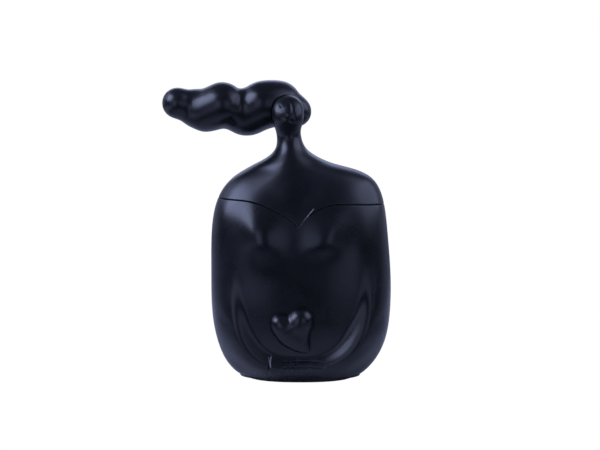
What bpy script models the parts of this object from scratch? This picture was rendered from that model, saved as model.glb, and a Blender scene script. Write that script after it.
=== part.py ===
"""A hollow vinyl art figure: a torso with folded arms, a lift-off bust, swept hair and a heart.

Metres, +Z up. The figure faces -Y and stands on a felt pad whose underside is at Z = 0.
The sizes below are in millimetres, and MM turns them into metres where meshes are made.
"""

import math

import bmesh
import bpy
import numpy as np
from mathutils import Matrix, Vector

MM = 0.001

# Walls, and the gap left between pieces that touch
WALL = 2.8
GAP = 0.3
PAD_THICK = 1.0
FOOT_Z = PAD_THICK + GAP
FLOOR_Z = FOOT_Z + WALL

# The seam: straight round the back, with a pointed neckline dropped into its front
SEAM_LEFT_X, SEAM_LEFT_Z = -69.0, 150.5
SEAM_RIGHT_X, SEAM_RIGHT_Z = 68.0, 145.5
SEAM_GAP = 0.5
NECKLINE_X, NECKLINE_DROP = -3.0, 19.0
NECKLINE_LEFT, NECKLINE_RIGHT = 46.0, 33.0

# The outside from the foot to the crown: height, left, right, front, back, squareness
STATIONS = [
    (FOOT_Z, -41.0, 39.5, 24.0, 22.0, 2.2),
    (4.0, -48.5, 46.5, 29.0, 28.0, 2.3),
    (13.0, -59.5, 57.5, 35.8, 35.5, 2.45),
    (30.0, -68.0, 67.5, 40.5, 40.5, 2.6),
    (55.0, -73.0, 72.5, 42.0, 42.5, 2.7),
    (90.0, -74.0, 73.0, 41.0, 42.0, 2.7),
    (122.0, -73.5, 70.5, 38.6, 39.5, 2.65),
    (143.0, -70.5, 68.0, 34.8, 35.5, 2.5),
    (157.0, -64.5, 64.0, 29.8, 30.5, 2.35),
    (167.0, -55.5, 56.5, 24.8, 25.5, 2.25),
    (173.0, -46.5, 44.5, 21.4, 22.0, 2.15),
    (178.0, -37.5, 26.5, 18.8, 18.5, 2.1),
    (184.0, -27.0, 12.5, 16.4, 15.0, 2.05),
    (191.0, -21.0, 3.5, 14.4, 12.0, 2.0),
    (199.0, -20.0, 0.0, 13.4, 10.5, 2.1),
    (205.0, -21.0, -0.5, 14.2, 10.0, 2.25),
    (211.0, -23.0, 1.0, 15.6, 10.5, 2.4),
    (219.0, -24.5, 2.0, 15.4, 11.0, 2.4),
    (225.5, -23.6, 1.0, 12.8, 10.5, 2.4),
    (230.8, -20.0, -2.6, 8.6, 8.5, 2.3),
    (233.3, -15.0, -7.5, 4.0, 4.0, 2.2),
]

# Rolls raised on the front, each along a curve: x, z, half-width and height of the roll
ARMS = [
    (-61.5, 112.0, 10.0, 0.0),
    (-61.5, 98.0, 11.0, 0.4),
    (-61.0, 85.0, 12.5, 1.8),
    (-60.0, 72.0, 14.5, 4.4),
    (-58.0, 58.0, 16.0, 7.8),
    (-51.5, 36.0, 17.5, 11.0),
    (-32.0, 18.0, 15.0, 9.6),
    (0.0, 14.0, 12.5, 7.6),
    (22.0, 16.0, 14.5, 9.4),
    (40.0, 25.0, 17.5, 12.2),
    (53.5, 43.0, 19.0, 13.0),
    (58.5, 60.0, 17.0, 9.6),
    (60.0, 74.0, 15.0, 5.4),
    (60.5, 88.0, 13.0, 2.2),
    (60.5, 101.0, 11.0, 0.5),
    (60.5, 115.0, 10.0, 0.0),
]
ROLL_SAMPLES = 160

# The ridge that carries the neck down onto the chest, in the same terms
NECK_RIDGE = [
    (-10.0, 200.0, 13.0, 0.0),
    (-10.0, 191.0, 17.0, 2.0),
    (-10.5, 183.0, 22.0, 4.4),
    (-11.0, 175.0, 26.0, 4.6),
    (-10.5, 166.0, 27.0, 3.0),
    (-9.5, 156.0, 28.0, 1.0),
    (-9.0, 147.0, 28.0, 0.0),
]

# Soft mounds on the chest: x, z, height, lean, and spread to the left, right, up and down
CHEST_MOUNDS = [
    (-34.0, 120.0, 6.3, -0.15, 13.5, 18.5, 22.0, 19.0),
    (20.5, 119.0, 5.0, 0.25, 17.5, 13.0, 20.0, 14.0),
]
# A mound's upper spread blends into its lower one over this height above and below its middle
MOUND_BLEND = 15.0
# Outside their ridge the arms flatten by this share, fading in between two heights
ARM_FLATTENING, ARM_FLAT_FROM, ARM_FLAT_TO = 0.7, 16.0, 60.0
# How sharply the neck's ridge falls away
RIDGE_STEEPNESS = 1.5

# The lip bonded inside the bust, whose skirt drops inside the torso's rim
LIP_UP, LIP_DOWN, LIP_WALL = 5.0, 8.0, 1.8

# Hair lobes, hollow inside: x, y, z and radius of each
HAIR_LOBES = [
    (-101.5, 9.0, 227.0, 12.6),
    (-89.3, 15.0, 223.5, 14.6),
    (-78.6, 12.0, 220.5, 17.1),
    (-64.9, 9.0, 225.5, 18.6),
    (-48.5, 16.0, 218.5, 17.2),
    (-41.0, 16.5, 219.8, 18.2),
    (-31.5, 11.5, 226.5, 18.6),
    (-19.0, 17.0, 226.5, 18.8),
    (-4.5, 17.0, 220.0, 12.6),
]
HAIR_GRID = 5.0
HAIR_WALL = 2.6

# The pocket in the hair for the head, which runs straight out of the front
POCKET_FROM_Z = 196.0
POCKET_GAP = 0.4
POCKET_FRONT_Y = -40.0

# The square peg on the hair, its flange, and the socket for it in the back of the head
PEG_X, PEG_Z, PEG_SIDE = -11.0, 219.0, 7.0
PEG_START_Y = 3.0
FLANGE_START_Y, FLANGE_END_Y, FLANGE_SIDE = 14.3, 16.3, 11.0
SOCKET_RADIUS, SOCKET_START_Y, SOCKET_END_Y = 5.6, 2.5, 9.6

# Heart lobes, and the stem that holds the heart to the torso
HEART_LOBES = [
    (-16.8, -42.5, 52.4, 8.8),
    (0.0, -43.5, 56.2, 9.5),
    (-13.0, -42.5, 48.0, 10.0),
    (-2.5, -42.0, 50.8, 12.0),
    (-9.5, -42.5, 43.0, 9.5),
    (-3.0, -43.0, 39.5, 9.5),
    (1.2, -44.5, 35.0, 5.5),
    (4.0, -46.0, 32.8, 3.0),
]
HEART_GRID = 2.6
SEAT_FROM_Z, SEAT_TO_Z = 6.0, 100.0
STEM_X, STEM_Z, STEM_RADIUS = -5.0, 47.0, 3.0
STEM_START_Y, STEM_END_Y = -44.0, -36.0

# The steel ballast on the torso's floor, and the felt pad under the foot
BALLAST_HALF_X, BALLAST_HALF_Y, BALLAST_THICK = 30.0, 15.0, 5.0
PAD_HALF_X, PAD_HALF_Y = 31.0, 16.5

COLUMNS = 44
TORSO_ROWS, BUST_ROWS, CUTTER_ROWS = 23, 26, 22
METABALL_THRESHOLD, METABALL_STIFFNESS, METABALL_REACH = 0.6, 5.0, 1.408

# Each piece's colour, roughness and metallic value
FINISHES = {
    "torso_shell": ((0.012, 0.012, 0.016), 0.4, 0.0),
    "bust_shell": ((0.012, 0.012, 0.016), 0.4, 0.0),
    "hair_shell": ((0.012, 0.012, 0.016), 0.4, 0.0),
    "heart": ((0.012, 0.012, 0.016), 0.35, 0.0),
    "locating_lip": ((0.02, 0.02, 0.022), 0.5, 0.0),
    "head_socket": ((0.02, 0.02, 0.022), 0.5, 0.0),
    "hair_peg": ((0.02, 0.02, 0.022), 0.5, 0.0),
    "ballast_plate": ((0.45, 0.45, 0.47), 0.35, 1.0),
    "base_pad": ((0.015, 0.015, 0.016), 0.95, 0.0),
}


def smooth_curve(knots, values):
    """A function that follows the natural cubic spline through the values at the knots."""
    knots, values = np.asarray(knots, float), np.asarray(values, float)
    step = np.diff(knots)
    system, target = np.eye(len(knots)), np.zeros_like(values)
    for i in range(1, len(knots) - 1):
        system[i, i - 1 : i + 2] = step[i - 1], 2 * (step[i - 1] + step[i]), step[i]
        rise_after = (values[i + 1] - values[i]) / step[i]
        rise_before = (values[i] - values[i - 1]) / step[i - 1]
        target[i] = 6 * (rise_after - rise_before)
    bend = np.linalg.solve(system, target)

    def follow(at):
        at = np.asarray(at, float)
        i = np.clip(np.searchsorted(knots, at) - 1, 0, len(knots) - 2)
        width = step[i][..., None]
        before = (knots[i + 1] - at)[..., None] / width
        after = 1 - before
        straight = before * values[i] + after * values[i + 1]
        curved = (before**3 - before) * bend[i] + (after**3 - after) * bend[i + 1]
        return straight + curved * width**2 / 6

    return follow


def distances_along(points):
    """How far along its polyline each point is."""
    steps = np.linalg.norm(np.diff(points, axis=0), axis=1)
    return np.concatenate([[0.0], np.cumsum(steps)])


def make_profile():
    """Height, centre, half-sizes and squareness as a function of distance up the skin."""
    height, left, right, front, back, squareness = np.array(STATIONS).T
    columns = [
        height,
        (left + right) / 2,
        (back - front) / 2,
        (right - left) / 2,
        (front + back) / 2,
        squareness,
    ]
    along = distances_along(np.column_stack([height, (right - left) / 2]))
    return smooth_curve(along, np.column_stack(columns)), along[-1]


PROFILE, SKIN_TOP = make_profile()
UP_STEPS = np.linspace(0, SKIN_TOP, 2000)
UP_HEIGHTS = PROFILE(UP_STEPS)[:, 0]


def up_to(height):
    """The distance up the skin at which it reaches a height."""
    return np.interp(height, UP_HEIGHTS, UP_STEPS)


def sample_roll(table):
    """Many points along a roll's curve, with its half-width and height at each."""
    table = np.array(table)
    along = distances_along(table[:, :2])
    return smooth_curve(along, table)(np.linspace(0, along[-1], ROLL_SAMPLES))


ARM_ROLL, NECK_ROLL = sample_roll(ARMS), sample_roll(NECK_RIDGE)


def soft_step(value, low, high):
    """0 below low, 1 above high, and smooth between."""
    share = np.clip((value - low) / (high - low), 0, 1)
    return share * share * (3 - 2 * share)


def roll_shape(x, z, roll):
    """Distance to a roll as a share of its half-width, its height there, and the side of it."""
    away = np.hypot(x[..., None] - roll[:, 0], z[..., None] - roll[:, 1])
    nearest = np.argmin(away, axis=-1)
    share = np.min(away, axis=-1) / roll[nearest, 2]
    ahead = roll[np.minimum(nearest + 1, len(roll) - 1)] - roll[np.maximum(nearest - 1, 0)]
    side = ahead[..., 0] * (z - roll[nearest, 1]) - ahead[..., 1] * (x - roll[nearest, 0])
    return share, roll[nearest, 3], side


def relief(x, z):
    """How far the arms, chest and neck stand out of the front at x, z."""
    share, rise, side = roll_shape(x, z, ARM_ROLL)
    flatter = 1 - ARM_FLATTENING * soft_step(z, ARM_FLAT_FROM, ARM_FLAT_TO)
    share = np.where(side < 0, share * flatter, share)
    out = rise * 0.5 * (1 + np.cos(math.pi * np.clip(share, 0, 1)))
    for mound_x, mound_z, height, lean, to_left, to_right, spread_up, spread_down in CHEST_MOUNDS:
        above = z - mound_z
        low = soft_step(-above, -MOUND_BLEND, MOUND_BLEND)
        sharpness = spread_up**-2 + low * (spread_down**-2 - spread_up**-2)
        sideways = x - mound_x - lean * above
        across = np.where(sideways < 0, to_left, to_right)
        out = out + height * np.exp(-((sideways / across) ** 2) - above**2 * sharpness)
    share, rise, _ = roll_shape(x, z, NECK_ROLL)
    return out + rise * np.exp(-RIDGE_STEEPNESS * share**2)


def plain_skin(angle, up):
    """Points of the outside without its relief, at angles about Z and distances up it."""
    angle, up = np.broadcast_arrays(angle, up)
    height, centre_x, centre_y, half_x, half_y, squareness = np.moveaxis(PROFILE(up), -1, 0)
    reach = np.abs(np.cos(angle) / half_x) ** squareness
    reach = reach + np.abs(np.sin(angle) / half_y) ** squareness
    radius = reach ** (-1 / squareness)
    x = centre_x + radius * np.cos(angle)
    y = centre_y + radius * np.sin(angle)
    return np.stack([x, y, height], axis=-1)


def offset_skin(angle, up, outward):
    """Points of the plain skin moved out along its normal."""
    around = plain_skin(angle + 1e-3, up) - plain_skin(angle - 1e-3, up)
    above, below = np.minimum(up + 0.05, SKIN_TOP), np.maximum(up - 0.05, 0)
    upward = plain_skin(angle, above) - plain_skin(angle, below)
    normal = np.cross(around, upward)
    normal /= np.linalg.norm(normal, axis=-1, keepdims=True)
    return plain_skin(angle, up) + outward * normal


def shaped_skin(angle, up, forward=0.0):
    """Points of the outside with its relief, which fades towards the sides."""
    points = plain_skin(angle, up)
    _, _, centre_y, _, half_y, _ = np.moveaxis(PROFILE(up), -1, 0)
    facing = np.clip((centre_y - points[..., 1]) / half_y, 0, 1)
    points[..., 1] -= (relief(points[..., 0], points[..., 2]) + forward) * facing
    return points


def seam_up(angle, lift=0.0):
    """Distance up the skin to the seam at each angle, moved by lift in height."""
    up = up_to(np.full_like(angle, SEAM_LEFT_Z))
    for _ in range(8):
        x = plain_skin(angle, up)[..., 0]
        share = (x - SEAM_LEFT_X) / (SEAM_RIGHT_X - SEAM_LEFT_X)
        line = SEAM_LEFT_Z + share * (SEAM_RIGHT_Z - SEAM_LEFT_Z)
        reach = np.where(x < NECKLINE_X, NECKLINE_LEFT, NECKLINE_RIGHT)
        near = np.clip(1 - np.abs(x - NECKLINE_X) / reach, 0, 1)
        drop = np.where(np.sin(angle) < 0, NECKLINE_DROP * near**2, 0)
        up = up_to(line - drop + lift)
    return up


def column_angles():
    """Angles of the lofts' columns, with one at the point of the neckline."""
    section = PROFILE(up_to(SEAM_LEFT_Z - NECKLINE_DROP))
    start = -math.pi / 2 + math.atan2(NECKLINE_X - section[1], section[4])
    return start + np.arange(COLUMNS) * 2 * math.pi / COLUMNS


ANGLES = column_angles()


def add_object(name, mesh, collection):
    """An object for the mesh, shaded smooth but for its sharp edges."""
    mesh.name = name
    mesh.shade_smooth()
    mesh.set_sharp_from_angle(angle=math.radians(40))
    made = bpy.data.objects.new(name, mesh)
    collection.objects.link(made)
    return made


def add_bmesh(name, work, collection):
    """An object for a bmesh, which is freed."""
    mesh = bpy.data.meshes.new(name)
    work.to_mesh(mesh)
    work.free()
    return add_object(name, mesh, collection)


def loft(name, rings, collection, foot_cap=True, crown_cap=True):
    """A skin through rings of points in millimetres, from the lowest ring to the highest."""
    work = bmesh.new()
    rows = [[work.verts.new(Vector(point) * MM) for point in ring] for ring in rings]
    for low, high in zip(rows, rows[1:]):
        for c in range(len(low)):
            work.faces.new((low[c - 1], low[c], high[c], high[c - 1]))
    if foot_cap:
        work.faces.new(reversed(rows[0]))
    if crown_cap:
        work.faces.new(rows[-1])
    return add_bmesh(name, work, collection)


def rod(name, collection, radius, start_y, end_y, x, z):
    """A round rod along Y."""
    work = bmesh.new()
    length = abs(end_y - start_y) * MM
    bmesh.ops.create_cone(
        work,
        cap_ends=True,
        segments=32,
        radius1=radius * MM,
        radius2=radius * MM,
        depth=length,
    )
    work.transform(Matrix.Rotation(math.pi / 2, 4, "X"))
    work.transform(Matrix.Translation(Vector((x, (start_y + end_y) / 2, z)) * MM))
    return add_bmesh(name, work, collection)


def square_bar(name, collection, side, start_y, end_y):
    """A square bar along Y, on the peg's axis."""
    work = bmesh.new()
    bmesh.ops.create_cube(work, size=MM)
    work.transform(Matrix.Diagonal((side, end_y - start_y, side, 1)))
    work.transform(Matrix.Translation(Vector((PEG_X, (start_y + end_y) / 2, PEG_Z)) * MM))
    return add_bmesh(name, work, collection)


def oval_plate(name, collection, half_x, half_y, low_z, thick):
    """A flat oval plate that stands on a height."""
    work = bmesh.new()
    bmesh.ops.create_cone(
        work, cap_ends=True, segments=44, radius1=MM, radius2=MM, depth=MM
    )
    work.transform(Matrix.Diagonal((half_x, half_y, thick, 1)))
    work.transform(Matrix.Translation((0, 0, (low_z + thick / 2) * MM)))
    return add_bmesh(name, work, collection)


def lobes(name, collection, balls, grid, shrink=0.0):
    """Rounded lobes that melt into each other, made at one unit per millimetre."""
    family = bpy.data.metaballs.new(name)
    family.resolution = family.render_resolution = grid
    family.threshold = METABALL_THRESHOLD
    for x, y, z, radius in balls:
        ball = family.elements.new()
        ball.co = (x, y, z)
        ball.radius = (radius - shrink) * METABALL_REACH
        ball.stiffness = METABALL_STIFFNESS
    holder = bpy.data.objects.new(name + "_balls", family)
    bpy.context.scene.collection.objects.link(holder)
    bpy.context.view_layer.update()
    graph = bpy.context.evaluated_depsgraph_get()
    mesh = bpy.data.meshes.new_from_object(holder.evaluated_get(graph))
    bpy.data.objects.remove(holder)
    mesh.materials.clear()
    work = bmesh.new()
    work.from_mesh(mesh)
    bpy.data.meshes.remove(mesh)
    bmesh.ops.remove_doubles(work, verts=work.verts, dist=grid * 0.15)
    work.transform(Matrix.Scale(MM, 4))
    return add_bmesh(name, work, collection)


def solidify(piece, wall):
    """Gives an open skin a wall on its inner side."""
    step = piece.modifiers.new("wall", "SOLIDIFY")
    step.thickness = wall * MM
    step.offset = -1
    step.use_even_offset = True


def boolean(piece, operation, *others):
    """Combines a piece with each of the others."""
    for other in others:
        step = piece.modifiers.new(other.name, "BOOLEAN")
        step.operation = operation
        step.solver = "EXACT"
        step.object = other


def torso_rings():
    """Rings from the foot to the seam, level at first and then bending to follow it."""
    rim = seam_up(ANGLES, -SEAM_GAP / 2)
    lowest = np.min(rim)
    shares = np.linspace(0, 1, TORSO_ROWS)
    stretches = np.clip((shares - 0.4) / 0.6, 0, 1) ** 1.5
    return [
        shaped_skin(ANGLES, share * lowest + stretch * (rim - lowest))
        for share, stretch in zip(shares, stretches)
    ]


def bust_rings():
    """Rings from the seam to the crown."""
    rim = seam_up(ANGLES, SEAM_GAP / 2)
    return [
        shaped_skin(ANGLES, rim + share * (SKIN_TOP - rim))
        for share in np.linspace(0, 1, BUST_ROWS)
    ]


def lip_rings():
    """Rings of the lip's outer side: straight up past the seam, then along the bust's wall."""
    inward = -WALL - GAP
    at_seam = offset_skin(ANGLES, seam_up(ANGLES), inward)
    skirt = at_seam - (0, 0, LIP_DOWN)
    return [skirt, at_seam, offset_skin(ANGLES, seam_up(ANGLES, LIP_UP), inward)]


def head_rings(outward):
    """Rings round the head, moved out by a gap and carried straight out of the front."""
    rings = []
    for up in np.linspace(up_to(POCKET_FROM_Z), SKIN_TOP, CUTTER_ROWS):
        ring = offset_skin(ANGLES, up, outward)
        ring[:, 1] = np.where(np.sin(ANGLES) < -0.05, POCKET_FRONT_Y, ring[:, 1])
        rings.append(ring)
    return rings


def seat_rings():
    """Rings of the torso's front, moved out by the gap that the heart keeps to it."""
    ups = np.linspace(up_to(SEAT_FROM_Z), up_to(SEAT_TO_Z), CUTTER_ROWS)
    return [shaped_skin(ANGLES, up, GAP) for up in ups]


def make_shells(figure):
    """The torso, the bust that lifts off it, and the lip that locates the bust."""
    torso = loft("torso_shell", torso_rings(), figure, crown_cap=False)
    solidify(torso, WALL)
    bust = loft("bust_shell", bust_rings(), figure, foot_cap=False)
    solidify(bust, WALL)
    lip = loft("locating_lip", lip_rings(), figure, foot_cap=False, crown_cap=False)
    solidify(lip, LIP_WALL)
    return torso, bust, lip


def make_hair(figure, cutters, bust):
    """The hollow hair with its pocket for the head, and the peg that plugs into the head."""
    bore = square_bar("peg_bore", cutters, PEG_SIDE + 2 * GAP, 0, FLANGE_END_Y)
    pocket = loft("head_pocket", head_rings(POCKET_GAP), cutters)
    pocket_wall = loft("pocket_wall", head_rings(POCKET_GAP + HAIR_WALL), cutters)
    hollow = lobes("hair_hollow", cutters, HAIR_LOBES, HAIR_GRID, shrink=HAIR_WALL)
    boolean(hollow, "DIFFERENCE", pocket_wall)
    hair = lobes("hair_shell", figure, HAIR_LOBES, HAIR_GRID)
    boolean(hair, "DIFFERENCE", hollow, pocket, bore)

    flange = square_bar("peg_flange", cutters, FLANGE_SIDE, FLANGE_START_Y, FLANGE_END_Y)
    peg = square_bar("hair_peg", figure, PEG_SIDE, PEG_START_Y, FLANGE_END_Y)
    boolean(peg, "UNION", flange)

    hole = rod(
        "socket_hole", cutters, SOCKET_RADIUS + GAP, 0, FLANGE_END_Y, PEG_X, PEG_Z
    )
    boolean(bust, "DIFFERENCE", hole)
    socket = rod(
        "head_socket", figure, SOCKET_RADIUS, SOCKET_START_Y, SOCKET_END_Y, PEG_X, PEG_Z
    )
    boolean(socket, "DIFFERENCE", bore)
    return hair, peg, socket


def make_heart(figure, cutters, torso):
    """The heart, cut to sit on the torso's front, with a stem through the torso's wall."""
    seat = loft("heart_seat", seat_rings(), cutters)
    stem = rod("heart_stem", cutters, STEM_RADIUS, STEM_START_Y, STEM_END_Y, STEM_X, STEM_Z)
    heart = lobes("heart", figure, HEART_LOBES, HEART_GRID)
    boolean(heart, "DIFFERENCE", seat)
    boolean(heart, "UNION", stem)
    hole = rod("stem_hole", cutters, STEM_RADIUS + GAP, -60, -25, STEM_X, STEM_Z)
    boolean(torso, "DIFFERENCE", hole)


def make_base(figure):
    """The ballast on the torso's floor, and the pad that the figure stands on."""
    oval_plate(
        "ballast_plate", figure, BALLAST_HALF_X, BALLAST_HALF_Y, FLOOR_Z + GAP, BALLAST_THICK
    )
    oval_plate("base_pad", figure, PAD_HALF_X, PAD_HALF_Y, 0, PAD_THICK)


def add_finish(piece):
    """A material with the piece's colour, roughness and metallic value."""
    color, roughness, metallic = FINISHES[piece.name]
    made = bpy.data.materials.new(piece.name)
    made.use_nodes = True
    shader = made.node_tree.nodes["Principled BSDF"]
    shader.inputs["Base Color"].default_value = (*color, 1)
    shader.inputs["Roughness"].default_value = roughness
    shader.inputs["Metallic"].default_value = metallic
    piece.data.materials.append(made)


def add_joint_empty(name, place, collection, pieces, parent=None):
    """An empty on a joint's axis, which carries the pieces that move with the joint."""
    empty = bpy.data.objects.new(name, None)
    empty.location = Vector(place) * MM
    empty.parent = parent
    collection.objects.link(empty)
    bpy.context.view_layer.update()
    for piece in pieces:
        piece.parent = empty
        piece.matrix_parent_inverse = empty.matrix_world.inverted()
    return empty


def main():
    for old in list(bpy.data.objects):
        bpy.data.objects.remove(old)
    figure = bpy.data.collections.new("art_figure")
    cutters = bpy.data.collections.new("cutters")
    bpy.context.scene.collection.children.link(figure)
    bpy.context.scene.collection.children.link(cutters)

    torso, bust, lip = make_shells(figure)
    hair, peg, socket = make_hair(figure, cutters, bust)
    make_heart(figure, cutters, torso)
    make_base(figure)

    for piece in figure.objects:
        add_finish(piece)
    for cutter in cutters.objects:
        cutter.hide_render = True
        cutter.display_type = "WIRE"

    lift = add_joint_empty("bust_lift", (0, 0, SEAM_LEFT_Z), figure, (bust, lip, socket))
    pull = add_joint_empty("hair_pull", (PEG_X, PEG_START_Y, PEG_Z), figure, (hair, peg))
    pull.parent = lift
    pull.matrix_parent_inverse = lift.matrix_world.inverted()


main()
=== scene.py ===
"""The looks of the vinyl art figure: fine skins, hair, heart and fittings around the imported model.

Lengths are in millimetres until a mesh is made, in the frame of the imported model: -Y is the
front, +X is to the right of someone who faces the figure, and Z = 0 is where it stands.
"""

import math

import bmesh
import bpy
import numpy as np
from mathutils import Matrix, Vector


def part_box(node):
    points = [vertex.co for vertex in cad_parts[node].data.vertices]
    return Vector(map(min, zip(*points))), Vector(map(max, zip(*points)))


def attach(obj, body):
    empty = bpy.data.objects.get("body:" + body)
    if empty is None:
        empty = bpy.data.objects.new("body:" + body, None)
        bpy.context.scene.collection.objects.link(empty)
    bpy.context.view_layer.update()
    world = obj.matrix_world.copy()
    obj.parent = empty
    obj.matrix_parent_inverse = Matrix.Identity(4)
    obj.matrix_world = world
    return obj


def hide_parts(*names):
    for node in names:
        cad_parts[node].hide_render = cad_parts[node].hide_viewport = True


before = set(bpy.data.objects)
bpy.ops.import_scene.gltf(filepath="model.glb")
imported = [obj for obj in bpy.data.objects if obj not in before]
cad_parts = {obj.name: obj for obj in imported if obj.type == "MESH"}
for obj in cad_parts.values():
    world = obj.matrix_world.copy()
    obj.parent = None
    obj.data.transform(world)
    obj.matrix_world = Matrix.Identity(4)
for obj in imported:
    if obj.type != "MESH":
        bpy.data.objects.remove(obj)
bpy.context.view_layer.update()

MM = 0.001

# Walls and gaps
WALL, GAP, HEART_GAP = 2.8, 0.3, 0.12
SEAM_GAP, RIM_ROUND = 0.5, 0.55
SEAM_LEFT_X, SEAM_LEFT_Z = -69.0, 150.5
SEAM_RIGHT_X, SEAM_RIGHT_Z = 68.0, 145.5
NECKLINE_X, NECKLINE_DROP = -3.0, 19.0
NECKLINE_LEFT, NECKLINE_RIGHT = 46.0, 33.0

# The outside from the foot to the crown: height, left, right, front, back, squareness
FOOT_Z = 1.3
STATIONS = [
    (FOOT_Z, -41.0, 39.5, 24.0, 22.0, 2.2),
    (4.0, -48.5, 46.5, 29.0, 28.0, 2.3),
    (13.0, -59.5, 57.5, 35.8, 35.5, 2.45),
    (30.0, -68.0, 67.5, 40.5, 40.5, 2.6),
    (55.0, -73.0, 72.5, 42.0, 42.5, 2.7),
    (90.0, -74.0, 73.0, 41.0, 42.0, 2.7),
    (122.0, -73.5, 70.5, 38.6, 39.5, 2.65),
    (143.0, -70.5, 68.0, 34.8, 35.5, 2.5),
    (157.0, -64.5, 64.0, 29.8, 30.5, 2.35),
    (167.0, -55.5, 56.5, 24.8, 25.5, 2.25),
    (173.0, -46.5, 44.5, 21.4, 22.0, 2.15),
    (178.0, -37.5, 26.5, 18.8, 18.5, 2.1),
    (184.0, -27.0, 12.5, 16.4, 15.0, 2.05),
    (191.0, -21.0, 3.5, 14.4, 12.0, 2.0),
    (199.0, -20.0, 0.0, 13.4, 10.5, 2.1),
    (205.0, -21.0, -0.5, 14.2, 10.0, 2.25),
    (211.0, -23.0, 1.0, 15.6, 10.5, 2.4),
    (219.0, -24.5, 2.0, 15.4, 11.0, 2.4),
    (225.5, -23.6, 1.0, 12.8, 10.5, 2.4),
    (230.8, -20.0, -2.6, 8.6, 8.5, 2.3),
    (233.3, -15.0, -7.5, 4.0, 4.0, 2.2),
]
CROWN_RISE = 0.75

# Rolls raised on the front: x, z, half-width and height at points along each
ARMS = [
    (-61.5, 112.0, 10.0, 0.0),
    (-61.5, 98.0, 11.0, 0.4),
    (-61.0, 85.0, 12.5, 1.8),
    (-60.0, 72.0, 14.5, 4.4),
    (-58.0, 58.0, 16.0, 7.8),
    (-51.5, 36.0, 17.5, 11.0),
    (-32.0, 18.0, 15.0, 9.6),
    (0.0, 14.0, 12.5, 7.6),
    (22.0, 16.0, 14.5, 9.4),
    (40.0, 25.0, 17.5, 12.2),
    (53.5, 43.0, 19.0, 13.0),
    (58.5, 60.0, 17.0, 9.6),
    (60.0, 74.0, 15.0, 5.4),
    (60.5, 88.0, 13.0, 2.2),
    (60.5, 101.0, 11.0, 0.5),
    (60.5, 115.0, 10.0, 0.0),
]
# Outside their ridge the arms flatten by this share, fading in between two heights
ARM_FLATTENING, ARM_FLAT_FROM, ARM_FLAT_TO = 0.7, 16.0, 60.0
NOSE = [
    (-12.3, 229.6, 7.0, 0.2),
    (-10.2, 227.8, 8.0, 1.0),
    (-9.2, 225.0, 8.0, 1.5),
    (-8.8, 221.0, 8.0, 1.7),
    (-9.4, 217.5, 8.0, 1.6),
    (-10.6, 214.0, 6.0, 0.5),
]
# How fast the nose falls away, and how much steeper its right side is
NOSE_STEEPNESS, NOSE_RIGHT_STEEPNESS = 1.6, 7.0
HEAD_FROM_Z = 205.0

# The ridge that carries the neck down onto the chest: x, z, half-width and height
NECK_RIDGE = [
    (-10.0, 200.0, 13.0, 0.0),
    (-10.0, 191.0, 17.0, 2.0),
    (-10.5, 183.0, 22.0, 4.4),
    (-11.0, 175.0, 26.0, 4.6),
    (-10.5, 166.0, 27.0, 3.0),
    (-9.5, 156.0, 28.0, 1.0),
    (-9.0, 147.0, 28.0, 0.0),
]
RIDGE_STEEPNESS, RIDGE_FROM_Z, RIDGE_TO_Z = 1.5, 145.0, 202.0

# Soft mounds on the chest: x, z, height, lean, and spread to the left, right, up and down
CHEST_MOUNDS = [
    (-34.0, 120.0, 6.3, -0.15, 13.5, 18.5, 22.0, 19.0),
    (20.5, 119.0, 5.0, 0.25, 17.5, 13.0, 20.0, 14.0),
]
# The upper spread blends into the lower one over this height above and below a mound's middle
MOUND_BLEND = 15.0

# The lines between the folded fingers: their heights, ends, depth and how they sag from the middle
FINGER_LINES = [22.0, 17.8, 13.6, 9.6]
FINGER_FROM_X, FINGER_TO_X, FINGER_FADE = -14.0, 17.0, 3.0
FINGER_DEPTH, FINGER_LINE_WIDTH = 0.55, 0.55
FINGER_MIDDLE_X, FINGER_HALF_SPAN, FINGER_SAG = 1.0, 15.0, 0.5

# Other fine lines cut into the skin: x, z, half-width and height at points along each
HAND_EDGE = [
    (-24.0, 28.0, 0.8, 0.0),
    (-25.0, 25.0, 0.8, -0.9),
    (-26.5, 12.0, 0.8, -0.9),
    (-26.8, 3.0, 0.8, -0.6),
]
BROW = [
    (-20.0, 227.2, 0.8, -0.1),
    (-17.6, 229.0, 0.9, -0.4),
    (-14.6, 229.6, 0.9, -0.4),
    (-12.0, 229.2, 0.8, -0.1),
]
EYE = [
    (-18.2, 226.4, 0.9, -0.02),
    (-17.2, 225.4, 1.2, -0.15),
    (-16.0, 223.8, 1.1, -0.12),
    (-15.4, 222.4, 0.9, -0.02),
]
MOUTH = [(-10.2, 212.9, 1.0, -0.1), (-8.0, 213.0, 1.6, -0.6), (-6.0, 212.6, 1.1, -0.1)]
FINE_LINE_STEEPNESS, FINE_LINE_MARGIN = 1.5, 5.0

# Metaball lobes: x, y, z and radius of each
HAIR_LOBES = [
    (-101.5, 9.0, 227.0, 12.6),
    (-89.3, 15.0, 223.5, 14.6),
    (-78.6, 12.0, 220.5, 17.1),
    (-64.9, 9.0, 225.5, 18.6),
    (-48.5, 16.0, 218.5, 17.2),
    (-41.0, 16.5, 219.8, 18.2),
    (-31.5, 11.5, 226.5, 18.6),
    (-19.0, 17.0, 226.5, 18.8),
    (-4.5, 17.0, 220.0, 12.6),
]
HEART_LOBES = [
    (-16.8, -42.5, 52.4, 8.8),
    (0.0, -43.5, 56.2, 9.5),
    (-13.0, -42.5, 48.0, 10.0),
    (-2.5, -42.0, 50.8, 12.0),
    (-9.5, -42.5, 43.0, 9.5),
    (-3.0, -43.0, 39.5, 9.5),
    (1.2, -44.5, 35.0, 5.5),
    (4.0, -46.0, 32.8, 3.0),
]
METABALL_THRESHOLD, METABALL_STIFFNESS, METABALL_REACH = 0.6, 5.0, 1.408
HAIR_WALL = 2.6
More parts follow.
